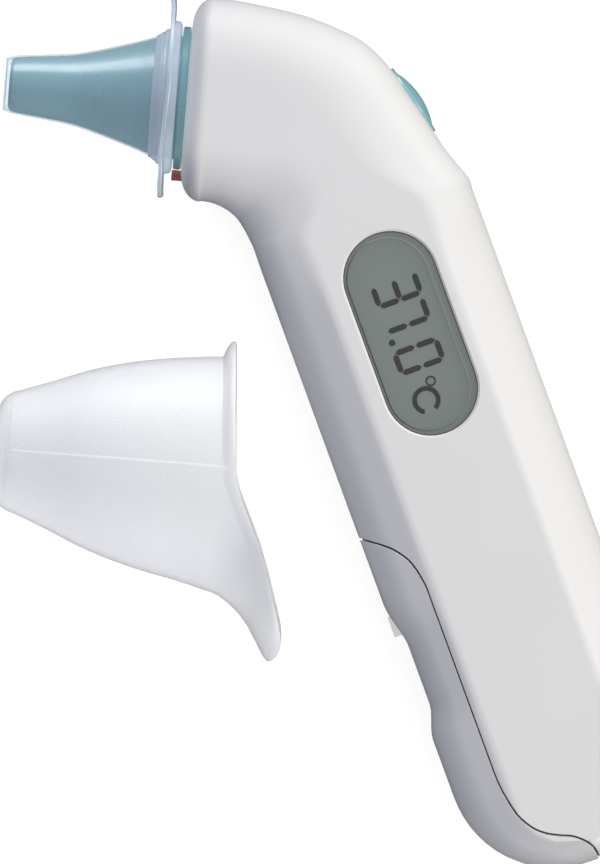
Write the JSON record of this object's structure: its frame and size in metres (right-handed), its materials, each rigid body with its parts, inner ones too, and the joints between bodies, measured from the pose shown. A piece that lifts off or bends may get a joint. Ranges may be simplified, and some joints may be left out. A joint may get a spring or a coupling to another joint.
{
  "type": "digital ear thermometer",
  "caption": "Angled handheld ear thermometer with a side display, start button, battery cover, clear probe cover and a loose frosted probe cap, lying on its side.",
  "frame": {"origin": "on the flat rest side of the handle, straight under the centre of the display window", "axes": "+Z out of the display side, +Y towards the head end and +X towards the back of the handle, with the probe pointing to -X; the handle leans 20 degrees from -Y towards +X"},
  "size_m": [0.1033, 0.1324, 0.0348],
  "materials": {
    "white_abs": "satin white, moulded",
    "clear_window": "clear, polished",
    "lcd_ink": "dark display segments",
    "lcd_glass": "grey-green display",
    "inner_plastic": "unpolished",
    "elastomer": "matt",
    "circuit_board": "solder mask",
    "black_plastic": "matt",
    "brass": "turned",
    "teal_button": "satin, slightly translucent",
    "steel": "plain",
    "teal_plastic": "polished",
    "dark_glass": "polished",
    "gold_tube": "plated",
    "flex": "film",
    "red_brown_plastic": "matt",
    "clear_film": "thin clear film",
    "frosted_cap": "frosted, translucent"
  },
  "bodies": {
    "housing": {"display_shell": "white_abs", "rest_shell": "white_abs", "display_window": "clear_window", "lcd_segments": "lcd_ink", "lcd_glass": "lcd_glass", "lcd_frame": "inner_plastic", "contact_strips": "elastomer", "main_board": "circuit_board", "microcontroller": "black_plastic", "buzzer": "brass", "button_switch": "steel", "button_board": "circuit_board", "probe_nozzle": "teal_plastic", "probe_window": "dark_glass", "waveguide": "gold_tube", "sensor_can": "steel", "sensor_block": "brass", "sensor_board": "circuit_board", "sensor_flex": "flex", "detector_switch": "black_plastic", "battery_tray": "inner_plastic", "upper_battery": "steel", "lower_battery": "steel", "battery_contacts": "gold_tube", "case_screws": "steel"},
    "cover": {"battery_cover": "white_abs"},
    "latch": {"battery_latch": "white_abs"},
    "button": {"start_button": "teal_button", "switch_plunger": "black_plastic"},
    "pin": {"detector_pin": "red_brown_plastic"},
    "lens_cover": {"probe_cover": "clear_film", "filter_film": "clear_film"},
    "cap": {"protective_cap": "frosted_cap"}
  },
  "joints": [
    {"name": "button_press", "type": "slide", "parent": "housing", "child": "button", "axis": [-0.8241, -0.5664, 0], "range_m": [0, 0.001], "stiffness_N_per_m": 2000},
    {"name": "detector_press", "type": "slide", "parent": "housing", "child": "pin", "axis": [0.9968, -0.0802, 0], "range_m": [0, 0.0009], "stiffness_N_per_m": 500},
    {"name": "lens_cover_pull", "type": "slide", "parent": "housing", "child": "lens_cover", "axis": [-0.9968, 0.0802, 0], "range_m": [0, 0.04]},
    {"name": "battery_cover_open", "type": "hinge", "parent": "housing", "child": "cover", "pos_m": [0.02854, -0.07943, 0.01575], "axis": [0, 0, 1], "range_deg": [0, 16]},
    {"name": "latch_slide", "type": "slide", "parent": "cover", "child": "latch", "axis": [0.3437, -0.9391, 0], "range_m": [0, 0.002], "stiffness_N_per_m": 500},
    {"name": "cap_lift", "type": "slide", "parent": "housing", "child": "cap", "axis": [0, 0, 1], "range_m": [0, 0.06]}
  ]
}
